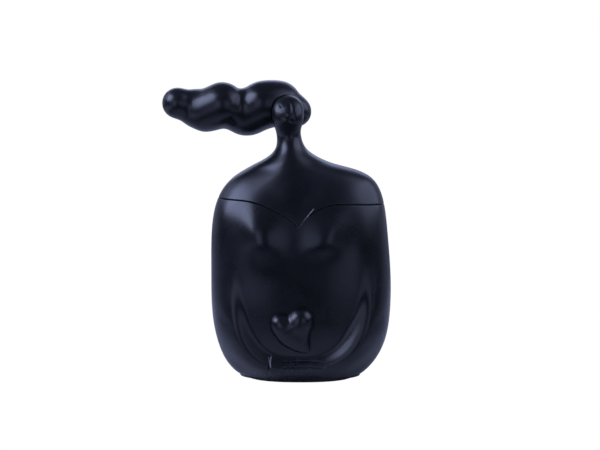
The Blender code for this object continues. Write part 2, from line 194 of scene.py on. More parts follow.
POCKET_FROM_Z, POCKET_GAP, POCKET_FRONT_Y = 196.0, 0.4, -40.0

# Fittings
LIP_UP, LIP_DOWN, LIP_WALL = 5.0, 8.0, 1.8
PEG_X, PEG_Z, PEG_SIDE, PEG_START_Y = -11.0, 219.0, 7.0, 3.0
FLANGE_START_Y, FLANGE_END_Y, FLANGE_SIDE = 14.3, 16.3, 11.0
SOCKET_RADIUS, SOCKET_START_Y, SOCKET_END_Y = 5.6, 2.5, 9.6
STEM_X, STEM_Z, STEM_RADIUS, STEM_START_Y, STEM_END_Y = -5.0, 47.0, 3.0, -44.0, -36.0
STEM_HOLE_Y = (-60.0, -25.0)
HEART_SEAT_FROM_Z, HEART_SEAT_TO_Z = 6.0, 100.0

# How finely the skins are made: columns round them, rings up them, and the lobes' grids
FRONT_COLUMNS, BACK_COLUMNS = 300, 132
HANDS_TOP_Z, HAND_RINGS, CHEST_RINGS = 36.0, 130, 150
SHOULDER_RINGS, HEAD_RINGS, INSIDE_RINGS, ROUNDING_RINGS = 110, 130, 40, 6
HAIR_GRID, HOLLOW_GRID, HEART_GRID = 1.3, 3.0, 0.7
SEAT_RINGS, PLATE_COLUMNS = 160, 160
# The torso's rings start level and bend towards the seam from this share of their height
SEAM_BEND_FROM, SEAM_BEND_POWER = 0.4, 1.5
# The foot's edge is rounded by two rings: distance up the skin, and offset out of it
FOOT_ROUNDING = [(0.0, -0.6), (0.12, -0.15)]
NECK_TOP_Z = 204.0
CROWN_SIZES = (0.85, 0.6, 0.3, 0.05)


# Curves and the skin


def smooth_curve(knots, values):
    """A function that follows the natural cubic spline through the values at the knots."""
    knots, values = np.asarray(knots, float), np.asarray(values, float)
    step = np.diff(knots)
    system, target = np.eye(len(knots)), np.zeros_like(values)
    for i in range(1, len(knots) - 1):
        system[i, i - 1 : i + 2] = step[i - 1], 2 * (step[i - 1] + step[i]), step[i]
        rise_after = (values[i + 1] - values[i]) / step[i]
        rise_before = (values[i] - values[i - 1]) / step[i - 1]
        target[i] = 6 * (rise_after - rise_before)
    bend = np.linalg.solve(system, target)

    def follow(at):
        at = np.asarray(at, float)
        i = np.clip(np.searchsorted(knots, at) - 1, 0, len(knots) - 2)
        width = step[i][..., None]
        before = (knots[i + 1] - at)[..., None] / width
        after = 1 - before
        straight = before * values[i] + after * values[i + 1]
        curved = (before**3 - before) * bend[i] + (after**3 - after) * bend[i + 1]
        return straight + curved * width**2 / 6

    return follow


def distances_along(points):
    """How far along its polyline each point is."""
    steps = np.linalg.norm(np.diff(points, axis=0), axis=1)
    return np.concatenate([[0.0], np.cumsum(steps)])


def make_profile():
    """Height, centre, half-sizes and squareness as a function of distance up the skin."""
    height, left, right, front, back, squareness = np.array(STATIONS).T
    columns = [
        height,
        (left + right) / 2,
        (back - front) / 2,
        (right - left) / 2,
        (front + back) / 2,
        squareness,
    ]
    along = distances_along(np.column_stack([height, (right - left) / 2]))
    return smooth_curve(along, np.column_stack(columns)), along[-1]


PROFILE, SKIN_TOP = make_profile()
UP_STEPS = np.linspace(0, SKIN_TOP, 4000)
UP_HEIGHTS = PROFILE(UP_STEPS)[:, 0]


def up_to(height):
    """The distance up the skin at which it reaches a height."""
    return np.interp(height, UP_HEIGHTS, UP_STEPS)


def sample_line(table, samples=200):
    """Many points along a line's curve, with its half-width and height at each."""
    table = np.array(table)
    along = distances_along(table[:, :2])
    return smooth_curve(along, table)(np.linspace(0, along[-1], samples))


def line_shape(x, z, line):
    """Distance to the line as a share of its half-width, its height there, and the side of it."""
    nearest = np.argmin((x[:, None] - line[:, 0]) ** 2 + (z[:, None] - line[:, 1]) ** 2, axis=1)
    ahead = line[np.minimum(nearest + 1, len(line) - 1)] - line[np.maximum(nearest - 1, 0)]
    off_x, off_z = x - line[nearest, 0], z - line[nearest, 1]
    step = (off_x * ahead[:, 0] + off_z * ahead[:, 1]) / np.sum(ahead[:, :2] ** 2, axis=1)
    foot = line[nearest] + np.clip(step, -0.5, 0.5)[:, None] * ahead
    side = ahead[:, 0] * off_z - ahead[:, 1] * off_x
    return np.hypot(x - foot[:, 0], z - foot[:, 1]) / foot[:, 2], foot[:, 3], side


ARM_LINE, NOSE_LINE, NECK_LINE = sample_line(ARMS), sample_line(NOSE), sample_line(NECK_RIDGE)
FINE_LINES = [sample_line(table, 80) for table in (HAND_EDGE, BROW, EYE, MOUTH)]


def soft_step(value, low, high):
    """0 below low, 1 above high, and smooth between."""
    share = np.clip((value - low) / (high - low), 0, 1)
    return share * share * (3 - 2 * share)


def relief(x, z):
    """How far the front stands out at x, z: arms, hands, chest and face."""
    shape = x.shape
    x, z = x.ravel(), z.ravel()
    out = np.zeros_like(x)
    share, rise, side = line_shape(x, z, ARM_LINE)
    flatter = 1 - ARM_FLATTENING * soft_step(z, ARM_FLAT_FROM, ARM_FLAT_TO)
    share = np.where(side < 0, share * flatter, share)
    out += rise * 0.5 * (1 + np.cos(math.pi * np.clip(share, 0, 1)))
    for mound_x, mound_z, height, lean, to_left, to_right, spread_up, spread_down in CHEST_MOUNDS:
        above = z - mound_z
        low = soft_step(-above, -MOUND_BLEND, MOUND_BLEND)
        sharpness = spread_up**-2 + low * (spread_down**-2 - spread_up**-2)
        sideways = x - mound_x - lean * above
        across = np.where(sideways < 0, to_left, to_right)
        out += height * np.exp(-((sideways / across) ** 2) - above**2 * sharpness)

    fingers = soft_step(x, FINGER_FROM_X - FINGER_FADE, FINGER_FROM_X + FINGER_FADE)
    fingers *= soft_step(-x, -FINGER_TO_X - FINGER_FADE, -FINGER_TO_X + FINGER_FADE)
    sag = FINGER_SAG * ((x - FINGER_MIDDLE_X) / FINGER_HALF_SPAN) ** 2
    for line_z in FINGER_LINES:
        out -= FINGER_DEPTH * fingers * np.exp(-(((z - line_z + sag) / FINGER_LINE_WIDTH) ** 2))

    chest = (z > RIDGE_FROM_Z) & (z < RIDGE_TO_Z)
    if chest.any():
        share, rise, _ = line_shape(x[chest], z[chest], NECK_LINE)
        out[chest] += rise * np.exp(-RIDGE_STEEPNESS * share**2)

    head = z > HEAD_FROM_Z
    if head.any():
        share, rise, side = line_shape(x[head], z[head], NOSE_LINE)
        share = np.where(side > 0, share * NOSE_RIGHT_STEEPNESS, share)
        out[head] += rise * np.exp(-NOSE_STEEPNESS * share**2)
    for line in FINE_LINES:
        low = line[:, :2].min(0) - FINE_LINE_MARGIN
        high = line[:, :2].max(0) + FINE_LINE_MARGIN
        near = (x > low[0]) & (x < high[0]) & (z > low[1]) & (z < high[1])
        if near.any():
            share, rise, _ = line_shape(x[near], z[near], line)
            out[near] += rise * np.exp(-FINE_LINE_STEEPNESS * share**2)
    return out.reshape(shape)


def plain_skin(angle, up):
    """Points of the outside without its relief, at angles about Z and distances up it."""
    angle, up = np.broadcast_arrays(angle, up)
    height, centre_x, centre_y, half_x, half_y, squareness = np.moveaxis(PROFILE(up), -1, 0)
    reach = np.abs(np.cos(angle) / half_x) ** squareness
    reach = reach + np.abs(np.sin(angle) / half_y) ** squareness
    radius = reach ** (-1 / squareness)
    x = centre_x + radius * np.cos(angle)
    y = centre_y + radius * np.sin(angle)
    return np.stack([x, y, height], axis=-1)


def skin(angle, up, outward=0.0, shaped=True):
    """Points of the outside, moved out along its normal, with its relief when shaped."""
    angle, up = np.broadcast_arrays(angle, up)
    points = plain_skin(angle, up)
    _, _, centre_y, _, half_y, _ = np.moveaxis(PROFILE(up), -1, 0)
    facing = np.clip((centre_y - points[..., 1]) / half_y, 0, 1)
    if outward:
        around = plain_skin(angle + 1e-3, up) - plain_skin(angle - 1e-3, up)
        above, below = np.minimum(up + 0.05, SKIN_TOP), np.maximum(up - 0.05, 0)
        normal = np.cross(around, plain_skin(angle, above) - plain_skin(angle, below))
        points += outward * normal / np.linalg.norm(normal, axis=-1, keepdims=True)
    if shaped:
        points[..., 1] -= relief(points[..., 0], points[..., 2]) * facing
    return points


def seam_up(angle, lift=0.0):
    """Distance up the skin to the seam at each angle, moved by lift in height."""
    up = up_to(np.full_like(angle, SEAM_LEFT_Z))
    for _ in range(10):
        x = plain_skin(angle, up)[..., 0]
        share = (x - SEAM_LEFT_X) / (SEAM_RIGHT_X - SEAM_LEFT_X)
        line = SEAM_LEFT_Z + share * (SEAM_RIGHT_Z - SEAM_LEFT_Z)
        reach = np.where(x < NECKLINE_X, NECKLINE_LEFT, NECKLINE_RIGHT)
        near = np.clip(1 - np.abs(x - NECKLINE_X) / reach, 0, 1)
        drop = np.where(np.sin(angle) < 0, NECKLINE_DROP * near**2, 0)
        up = up_to(line - drop + lift)
    return up


def column_angles():
    """Angles of the skins' columns, closer at the front, with one at the neckline's point."""
    section = PROFILE(up_to(SEAM_LEFT_Z - NECKLINE_DROP))
    point = -math.pi / 2 + math.atan2(NECKLINE_X - section[1], section[4])
    left = np.linspace(-math.pi, point, FRONT_COLUMNS // 2, endpoint=False)
    right = np.linspace(point, 0, FRONT_COLUMNS // 2, endpoint=False)
    back = np.linspace(0, math.pi, BACK_COLUMNS, endpoint=False)
    return np.concatenate([left, right, back])


ANGLES = column_angles()


# Meshes


def link(obj):
    bpy.context.scene.collection.objects.link(obj)
    return obj


def make_object(name, mesh, sharp_degrees=50):
    """An object for a mesh in metres, shaded smooth but for its sharp edges."""
    mesh.name = name
    mesh.shade_smooth()
    mesh.set_sharp_from_angle(angle=math.radians(sharp_degrees))
    return link(bpy.data.objects.new(name, mesh))


def loft(name, rings, close_loop=False):
    """A solid through rings of points in millimetres, capped at its ends or closed on itself."""
    rows, columns = len(rings), len(rings[0])
    points = np.concatenate(rings) * MM
    grid = np.arange(rows * columns).reshape(rows, columns)
    if close_loop:
        grid = np.concatenate([grid, grid[:1]])
    low, high = grid[:-1], grid[1:]
    quads = np.stack([low, np.roll(low, -1, 1), np.roll(high, -1, 1), high], axis=-1)
    faces = quads.reshape(-1, 4).tolist()
    if not close_loop:
        faces.append(grid[0][::-1].tolist())
        faces.append(grid[-1].tolist())
    mesh = bpy.data.meshes.new(name)
    mesh.from_pydata(points.tolist(), [], faces)
    return make_object(name, mesh)


def lobe_field(points, balls):
    """The metaballs' field at each point, less its threshold, and the field's gradient."""
    field = np.full(len(points), -METABALL_THRESHOLD)
    gradient = np.zeros_like(points)
    for x, y, z, radius in balls:
        away = points - (x, y, z)
        reach = radius * METABALL_REACH
        inside = np.clip(1 - np.sum(away**2, axis=1) / reach**2, 0, None)
        field += METABALL_STIFFNESS * inside**3
        gradient -= 6 * METABALL_STIFFNESS * (inside**2)[:, None] * away / reach**2
    return field, gradient


def lobes(name, balls, grid, shrink=0.0, evenings=6):
    """Rounded lobes that melt into each other, evened out and set exactly on their surface."""
    balls = [(x, y, z, radius - shrink) for x, y, z, radius in balls]
    family = bpy.data.metaballs.new(name)
    family.resolution = family.render_resolution = grid
    family.threshold = METABALL_THRESHOLD
    for x, y, z, radius in balls:
        ball = family.elements.new()
        ball.co = (x, y, z)
        ball.radius = radius * METABALL_REACH
        ball.stiffness = METABALL_STIFFNESS
    holder = link(bpy.data.objects.new(name + "_balls", family))
    bpy.context.view_layer.update()
    graph = bpy.context.evaluated_depsgraph_get()
    mesh = bpy.data.meshes.new_from_object(holder.evaluated_get(graph))
    bpy.data.objects.remove(holder)
    mesh.materials.clear()
    work = bmesh.new()
    work.from_mesh(mesh)
    for _ in range(evenings):
        bmesh.ops.smooth_vert(
            work, verts=work.verts, factor=0.5, use_axis_x=True, use_axis_y=True, use_axis_z=True
        )
    work.to_mesh(mesh)
    work.free()
    points = np.zeros(len(mesh.vertices) * 3)
    mesh.vertices.foreach_get("co", points)
    points = points.reshape(-1, 3)
    for _ in range(4):
        field, gradient = lobe_field(points, balls)
        steepness = np.sum(gradient**2, axis=1, keepdims=True) + 1e-9
        points -= np.clip(field[:, None] * gradient / steepness, -1, 1)
    mesh.vertices.foreach_set("co", (points * MM).ravel())
    mesh.update()
    return make_object(name, mesh)


def combine(piece, operation, *others):
    """Combines a piece with each of the others by a Boolean, and keeps the result."""
    for other in others:
        step = piece.modifiers.new(other.name, "BOOLEAN")
        step.operation = operation
        step.solver = "MANIFOLD"
        step.object = other
    graph = bpy.context.evaluated_depsgraph_get()
    made = bpy.data.meshes.new_from_object(piece.evaluated_get(graph))
    piece.modifiers.clear()
    piece.data = made
    made.name = piece.name
    made.shade_smooth()
    made.set_sharp_from_angle(angle=math.radians(50))
    for other in others:
        bpy.data.objects.remove(other)
    return piece


def bevelled(piece, width, segments=3, angle_degrees=40):
    """Rounds a piece's sharp edges."""
    step = piece.modifiers.new("rounding", "BEVEL")
    step.width = width * MM
    step.segments = segments
    step.limit_method = "ANGLE"
    step.angle_limit = math.radians(angle_degrees)
    step.harden_normals = True
    return piece


def rod(name, radius, start_y, end_y, x, z, segments=96):
    """A round rod along Y."""
    work = bmesh.new()
    bmesh.ops.create_cone(
        work,
        cap_ends=True,
        segments=segments,
        radius1=radius * MM,
        radius2=radius * MM,
        depth=abs(end_y - start_y) * MM,
    )
    work.transform(Matrix.Rotation(math.pi / 2, 4, "X"))
    work.transform(Matrix.Translation(Vector((x, (start_y + end_y) / 2, z)) * MM))
    mesh = bpy.data.meshes.new(name)
    work.to_mesh(mesh)
    work.free()
    return make_object(name, mesh, 40)


def square_bar(name, side, start_y, end_y):
    """A square bar along Y, on the peg's axis."""
    work = bmesh.new()
    bmesh.ops.create_cube(work, size=MM)
    work.transform(Matrix.Diagonal((side, end_y - start_y, side, 1)))
    work.transform(Matrix.Translation(Vector((PEG_X, (start_y + end_y) / 2, PEG_Z)) * MM))
    mesh = bpy.data.meshes.new(name)
    work.to_mesh(mesh)
    work.free()
    return make_object(name, mesh, 40)


def rounded_plate(name, node, round_by, steps=6):
    """A flat oval plate in a CAD node's box, with rounded edges."""
    low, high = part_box(node)
    centre, half = (low + high) / 2 / MM, (high - low) / 2 / MM
    turns = np.arange(PLATE_COLUMNS) * 2 * math.pi / PLATE_COLUMNS
    rings = []
    for end in (-1, 1):
        for bend in np.linspace(0, math.pi / 2, steps)[::end]:
            inset = round_by * (1 - math.sin(bend))
            height = end * (half.z - round_by + round_by * math.cos(bend))
            x = centre.x + (half.x - inset) * np.cos(turns)
            y = centre.y + (half.y - inset) * np.sin(turns)
            rings.append(np.column_stack([x, y, np.full(len(turns), centre.z + height)]))
    return loft(name, rings)


# Pieces


def make_torso():
    """The lower shell: foot, outside, rounded rim, inside and floor."""
    edge = seam_up(ANGLES, -SEAM_GAP / 2 - RIM_ROUND)
    lowest = edge.min()
    hands_up = up_to(HANDS_TOP_Z)
    hand_ups = np.linspace(0.5, hands_up, HAND_RINGS, endpoint=False)
    ups = np.concatenate([hand_ups, np.linspace(hands_up, lowest, CHEST_RINGS)])
    rings = [skin(ANGLES, up, outward, shaped=False) for up, outward in FOOT_ROUNDING]
    rings[0][:, 2] = FOOT_Z
    for up in ups:
        stretch = max((up / lowest - SEAM_BEND_FROM) / (1 - SEAM_BEND_FROM), 0) ** SEAM_BEND_POWER
        rings.append(skin(ANGLES, up + stretch * (edge - lowest)))
    for bend in np.linspace(0, math.pi / 2, ROUNDING_RINGS)[1:]:
        lift = -SEAM_GAP / 2 - RIM_ROUND * (1 - math.sin(bend))
        rings.append(skin(ANGLES, seam_up(ANGLES, lift), -RIM_ROUND * (1 - math.cos(bend))))
    rim_z = rings[-1][:, 2]
    floor_up = up_to(FOOT_Z + WALL + 2)
    rim = seam_up(ANGLES, -SEAM_GAP / 2)
    for share in np.linspace(1, 0, INSIDE_RINGS) ** 1.2:
        ring = skin(ANGLES, floor_up + share * (rim - floor_up), -WALL, shaped=False)
        ring[:, 2] = np.maximum(ring[:, 2], FOOT_Z + WALL)
        if share == 1:
            ring[:, 2] = rim_z
        rings.append(ring)
    rings[-1][:, 2] = FOOT_Z + WALL
    hole = rod("stem_hole", STEM_RADIUS + GAP, *STEM_HOLE_Y, STEM_X, STEM_Z)
    return combine(loft("torso_skin", rings), "DIFFERENCE", hole)


def crown_rings(outward=0.0):
    """Rings that close the crown in a low dome."""
    ring = skin(ANGLES, SKIN_TOP, outward, shaped=False)
    centre = ring.mean(axis=0)
    rings = []
    for size in CROWN_SIZES:
        smaller = centre + (ring - centre) * size
        smaller[:, 2] = ring[:, 2] + CROWN_RISE * (1 - size**2)
        rings.append(smaller)
    return rings


def make_bust():
    """The upper shell: inside, rounded rim, and the outside with shoulders, neck and head."""
    rim = seam_up(ANGLES, SEAM_GAP / 2)
    edge = seam_up(ANGLES, SEAM_GAP / 2 + RIM_ROUND)
    inner_top = SKIN_TOP - 2.5 * WALL
    rings = []
    for share in np.linspace(1, 0, 44) ** 1.5:
        rings.append(skin(ANGLES, rim + share * (inner_top - rim), -WALL, shaped=False))
    rings[0][:, 2] = rings[0][:, 2].mean()
    rim_at = len(rings) - 1
    for bend in np.linspace(math.pi / 2, 0, ROUNDING_RINGS)[:-1]:
        lift = SEAM_GAP / 2 + RIM_ROUND * (1 - math.sin(bend))
        rings.append(skin(ANGLES, seam_up(ANGLES, lift), -RIM_ROUND * (1 - math.cos(bend))))
    rings[rim_at][:, 2] = rings[rim_at + 1][:, 2]
    neck_up = up_to(NECK_TOP_Z)
    for share in np.linspace(0, 1, SHOULDER_RINGS, endpoint=False):
        rings.append(skin(ANGLES, edge + share * (neck_up - edge)))
    for up in np.linspace(neck_up, SKIN_TOP, HEAD_RINGS):
        rings.append(skin(ANGLES, up))
    rings += crown_rings()
    hole = rod("socket_hole", SOCKET_RADIUS + GAP, 0, FLANGE_END_Y, PEG_X, PEG_Z)
    return combine(loft("bust_skin", rings), "DIFFERENCE", hole)


def make_lip():
    """The ring under the bust, with a skirt rounded at its foot."""
    seam, top = seam_up(ANGLES), seam_up(ANGLES, LIP_UP)
    outer, inner = -WALL - GAP, -WALL - GAP - LIP_WALL
    rings = []
    for share in np.linspace(1, 0, 6):
        rings.append(skin(ANGLES, seam + share * (top - seam), outer, shaped=False))
    at_seam = rings[-1]
    middle = skin(ANGLES, seam, (outer + inner) / 2, shaped=False)
    inside = skin(ANGLES, seam, inner, shaped=False)
    half = LIP_WALL / 2
    for bend in np.linspace(0, math.pi, 9):
        side = (1 + math.cos(bend)) / 2
        ring = middle + (at_seam - middle) * (2 * side - 1 if side > 0.5 else 0)
        ring += (inside - middle) * (1 - 2 * side if side < 0.5 else 0)
        ring[:, 2] -= LIP_DOWN - half + half * math.sin(bend)
        rings.append(ring)
    for share in np.linspace(0, 1, 6):
        rings.append(skin(ANGLES, seam + share * (top - seam), inner, shaped=False))
    return loft("lip_ring", rings, close_loop=True)


def head_rings(outward):
    """Rings round the head, moved out by a gap and carried straight out of the front."""
    rings = [
        skin(ANGLES, up, outward, shaped=False)
        for up in np.linspace(up_to(POCKET_FROM_Z), SKIN_TOP, 90)
    ]
    rings += crown_rings(outward)
    for ring in rings:
        ring[:, 1] = np.where(np.sin(ANGLES) < -0.02, POCKET_FRONT_Y, ring[:, 1])
    return rings


def make_hair():
    """The swept hair, hollow, with its pocket for the head."""
    pocket = loft("head_pocket", head_rings(POCKET_GAP))
    pocket_wall = loft("pocket_wall", head_rings(POCKET_GAP + HAIR_WALL))
    bore = square_bar("peg_bore", PEG_SIDE + 2 * GAP, 0, FLANGE_END_Y)
    hollow = lobes("hair_hollow", HAIR_LOBES, HOLLOW_GRID, shrink=HAIR_WALL)
    combine(hollow, "DIFFERENCE", pocket_wall)
    hair = lobes("hair_cloud", HAIR_LOBES, HAIR_GRID)
    return combine(hair, "DIFFERENCE", hollow, pocket, bore)


def make_heart():
    """The puffy heart, cut to sit on the torso, with its stem."""
    seat_rings = []
    for up in np.linspace(up_to(HEART_SEAT_FROM_Z), up_to(HEART_SEAT_TO_Z), SEAT_RINGS):
        ring = skin(ANGLES, up)
        ring[:, 1] -= HEART_GAP * (np.sin(ANGLES) < 0)
        seat_rings.append(ring)
    seat = loft("heart_seat", seat_rings)
    stem = rod("heart_stem", STEM_RADIUS, STEM_START_Y, STEM_END_Y, STEM_X, STEM_Z)
    heart = lobes("heart_relief", HEART_LOBES, HEART_GRID)
    combine(heart, "DIFFERENCE", seat)
    return combine(heart, "UNION", stem)


def make_socket():
    """The tube in the back of the head, with a square bore and softened edges."""
    tube = rod("socket_tube", SOCKET_RADIUS, SOCKET_START_Y, SOCKET_END_Y, PEG_X, PEG_Z)
    bore = square_bar("socket_bore", PEG_SIDE + 2 * GAP, 0, FLANGE_END_Y)
    return bevelled(combine(tube, "DIFFERENCE", bore), 0.3)


def make_peg():
    """The hair's square peg with its flange."""
    peg = square_bar("peg_bar", PEG_SIDE, PEG_START_Y, FLANGE_END_Y)
    flange = square_bar("peg_flange", FLANGE_SIDE, FLANGE_START_Y, FLANGE_END_Y)
    return bevelled(combine(peg, "UNION", flange), 0.5)


# Materials


class Nodes:
    """A short way to lay out a material's nodes."""

    def __init__(self, name):
        self.material = bpy.data.materials.new(name)
        self.material.use_nodes = True
        self.tree = self.material.node_tree
        self.shader = self.tree.nodes["Principled BSDF"]
        self.place = self.add("ShaderNodeTexCoord").outputs["Object"]

    def add(self, kind, **settings):
        node = self.tree.nodes.new(kind)
        for key, value in settings.items():
            setattr(node, key, value)
        return node

    def put(self, socket, value):
        if isinstance(value, bpy.types.NodeSocket):
            self.tree.links.new(value, socket)
        else:
            socket.default_value = value

    def noise(self, scale, detail=3.0, stretch=(1, 1, 1), offset=(0, 0, 0), roughness=0.5):
        """A noise of that many features per metre, from 0 to 1."""
        mapping = self.add("ShaderNodeMapping")
        self.put(mapping.inputs["Vector"], self.place)
        mapping.inputs["Scale"].default_value = stretch
        mapping.inputs["Location"].default_value = offset
        node = self.add("ShaderNodeTexNoise")
        self.put(node.inputs["Vector"], mapping.outputs[0])
        node.inputs["Scale"].default_value = scale
        node.inputs["Detail"].default_value = detail
        node.inputs["Roughness"].default_value = roughness
        return node.outputs["Fac"]

    def ramp(self, value, low, high, to_low=0.0, to_high=1.0):
        """Maps low to high onto to_low to to_high, clamped."""
        node = self.add("ShaderNodeMapRange", interpolation_type="SMOOTHSTEP")
        self.put(node.inputs["Value"], value)
        node.inputs["From Min"].default_value = low
        node.inputs["From Max"].default_value = high
        node.inputs["To Min"].default_value = to_low
        node.inputs["To Max"].default_value = to_high
        return node.outputs["Result"]

    def math(self, operation, first, second=0.0):
        node = self.add("ShaderNodeMath", operation=operation)
        self.put(node.inputs[0], first)
        self.put(node.inputs[1], second)
        return node.outputs[0]

    def mix(self, share, first, second):
        """A mix of two colours."""
        node = self.add("ShaderNodeMix", data_type="RGBA")
        self.put(node.inputs["Factor"], share)
        self.put(node.inputs["A"], first)
        self.put(node.inputs["B"], second)
        return node.outputs["Result"]

    def specks(self, per_metre, size, share_kept, offset=(0, 0, 0)):
        """Small round specks in a random share of the cells of a Voronoi pattern."""
        mapping = self.add("ShaderNodeMapping")
        self.put(mapping.inputs["Vector"], self.place)
        mapping.inputs["Location"].default_value = offset
        cells = self.add("ShaderNodeTexVoronoi")
        self.put(cells.inputs["Vector"], mapping.outputs[0])
        cells.inputs["Scale"].default_value = per_metre
        near = self.ramp(cells.outputs["Distance"], size * 0.6, size, 1.0, 0.0)
        split = self.add("ShaderNodeSeparateColor")
        self.put(split.inputs[0], cells.outputs["Color"])
        kept = self.math("LESS_THAN", split.outputs[0], share_kept)
        return self.math("MULTIPLY", near, kept)

    def scuff(self, start, end, width):
        """1 near the line from start to end, given as x, z in millimetres, on the front."""
        start = Vector((start[0], 0, start[1])) * MM
        along = Vector((end[0], 0, end[1])) * MM - start
        flat = self.add("ShaderNodeVectorMath", operation="MULTIPLY")
        self.put(flat.inputs[0], self.place)
        flat.inputs[1].default_value = (1, 0, 1)
        away = self.add("ShaderNodeVectorMath", operation="SUBTRACT")
        self.put(away.inputs[0], flat.outputs[0])
        away.inputs[1].default_value = start
        dot = self.add("ShaderNodeVectorMath", operation="DOT_PRODUCT")
        self.put(dot.inputs[0], away.outputs[0])
        dot.inputs[1].default_value = along / along.length_squared
        share = self.add("ShaderNodeClamp")
        self.put(share.inputs["Value"], dot.outputs["Value"])
        nearest = self.add("ShaderNodeVectorMath", operation="SCALE")
        nearest.inputs[0].default_value = along
        self.put(nearest.inputs["Scale"], share.outputs[0])
        gap = self.add("ShaderNodeVectorMath", operation="DISTANCE")
        self.put(gap.inputs[0], away.outputs[0])
        self.put(gap.inputs[1], nearest.outputs[0])
        return self.ramp(gap.outputs["Value"], width * MM * 0.4, width * MM, 1.0, 0.0)

    def front_only(self):
        """1 on the front half of the figure."""
        split = self.add("ShaderNodeSeparateXYZ")
        self.put(split.inputs[0], self.place)
        return self.ramp(split.outputs["Y"], -0.012, -0.004, 1.0, 0.0)

    def bump(self, height, strength, distance):
        node = self.add("ShaderNodeBump")
        node.inputs["Strength"].default_value = strength
        node.inputs["Distance"].default_value = distance
        self.put(node.inputs["Height"], height)
        return node.outputs["Normal"]


VINYL = (0.0042, 0.0050, 0.0064, 1)
VINYL_WORN = (0.022, 0.024, 0.029, 1)
DUST = (0.30, 0.31, 0.34, 1)
VINYL_IOR = 1.47
DUST_FLATTENING = 0.45


def dust_patch(n, centre, spread):
    """Fine grit in a wide, low patch on the front, given as x, z and size in millimetres."""
    flat = n.add("ShaderNodeVectorMath", operation="MULTIPLY")
    n.put(flat.inputs[0], n.place)
    flat.inputs[1].default_value = (DUST_FLATTENING, 0, 1)
    away = n.add("ShaderNodeVectorMath", operation="DISTANCE")
    n.put(away.inputs[0], flat.outputs[0])
    away.inputs[1].default_value = Vector((centre[0] * DUST_FLATTENING, 0, centre[1])) * MM
    zone = n.ramp(away.outputs["Value"], 0.2 * spread * MM, spread * MM, 1.0, 0.0)
    grit = n.ramp(n.noise(1500, detail=2), 0.6, 0.72)
    grit = n.math("MULTIPLY", n.math("MULTIPLY", grit, zone), 0.5)
    return n.math("MULTIPLY", grit, n.front_only())


def broken_scuff(n, start, end, width, strength):
    """A worn, broken scratch on the front."""
    mark = n.math("MULTIPLY", n.scuff(start, end, width), n.front_only())
    broken = n.ramp(n.noise(700, detail=2), 0.25, 0.5)
    return n.math("MULTIPLY", n.math("MULTIPLY", mark, broken), strength)


def vinyl(name, roughness=0.28, scuffs=(), dusty=None):
    """Near-black satin vinyl: cloudy wear and roughness, faint orange peel, scuffs and dust."""
    n = Nodes(name)
    cloud = n.noise(34, detail=4)
    rub = n.ramp(n.noise(45, detail=2, offset=(0.3, 0.1, 0.7)), 0.45, 0.8)
    color = n.mix(n.math("MULTIPLY", rub, 0.25), VINYL, VINYL_WORN)
    marks = n.specks(260, 0.05, 0.05)
    if dusty:
        marks = n.math("MAXIMUM", marks, dust_patch(n, *dusty))
    for scuff in scuffs:
        marks = n.math("MAXIMUM", marks, broken_scuff(n, *scuff))
    n.put(n.shader.inputs["Base Color"], n.mix(marks, color, DUST))
    rough = n.ramp(cloud, 0.3, 0.7, roughness - 0.03, roughness + 0.04)
    rough = n.math("ADD", rough, n.math("MULTIPLY", rub, 0.04))
    rough = n.math("ADD", rough, n.math("MULTIPLY", marks, 0.3))
    n.put(n.shader.inputs["Roughness"], rough)
    n.put(n.shader.inputs["Normal"], n.bump(n.noise(380, detail=1), 0.1, 0.00025))
    n.shader.inputs["IOR"].default_value = VINYL_IOR
    return n.material


PLASTIC_DARK, PLASTIC_LIGHT = (0.018, 0.018, 0.02, 1), (0.028, 0.028, 0.03, 1)
ZINC_DARK, ZINC_LIGHT = (0.42, 0.43, 0.45, 1), (0.60, 0.60, 0.58, 1)
FELT_DARK, FELT_LIGHT = (0.008, 0.008, 0.009, 1), (0.035, 0.035, 0.038, 1)


def plastic(name):
    """Moulded black plastic with a fine texture."""
    n = Nodes(name)
    n.put(n.shader.inputs["Base Color"], n.mix(n.noise(120), PLASTIC_DARK, PLASTIC_LIGHT))
    n.put(n.shader.inputs["Roughness"], n.ramp(n.noise(500), 0.3, 0.7, 0.42, 0.56))
    n.put(n.shader.inputs["Normal"], n.bump(n.noise(2200, detail=2), 0.25, 0.0002))
    return n.material


def plated_steel(name):
    """Zinc-plated steel with a brushed grain and cloudy spangle."""
    n = Nodes(name)
    cloud = n.noise(160, detail=4)
    n.put(n.shader.inputs["Base Color"], n.mix(cloud, ZINC_DARK, ZINC_LIGHT))
    n.shader.inputs["Metallic"].default_value = 1.0
    grain = n.noise(900, detail=3, stretch=(0.05, 1, 1))
    n.put(n.shader.inputs["Roughness"], n.ramp(grain, 0.3, 0.7, 0.26, 0.42))
    n.put(n.shader.inputs["Normal"], n.bump(grain, 0.2, 0.0002))
    return n.material


def felt(name):
    """Black wool felt."""
    n = Nodes(name)
    fibres = n.noise(2600, detail=4, roughness=0.7)
    n.put(n.shader.inputs["Base Color"], n.mix(fibres, FELT_DARK, FELT_LIGHT))
    n.shader.inputs["Roughness"].default_value = 0.95
    n.shader.inputs["Sheen Weight"].default_value = 0.3
    n.put(n.shader.inputs["Normal"], n.bump(fibres, 0.6, 0.0005))
    return n.material


# The floor's colour holds painted shade: white near the figure and in a band on each side, where the
# lamps fall, and darker out in front of it; the camera sees it all white, and only the vinyl mirrors
# the painted shade. In metres.
FLOOR_NEAR, FLOOR_PAINTED_SHADE = (0.7, 0.7, 0.72, 1), (0.02, 0.02, 0.025, 1)
FLOOR_NEAR_REACH, FLOOR_FAR_REACH = 0.10, 0.34
FLOOR_FRONT_Y, FLOOR_BACK_Y = -0.05, 0.25
BAND_INNER_EDGE, BAND_OUTER_EDGE = (0.3, 0.45), (0.95, 1.15)
FLOOR_GLOW, FLOOR_WHITENESS = 1.04, 0.97


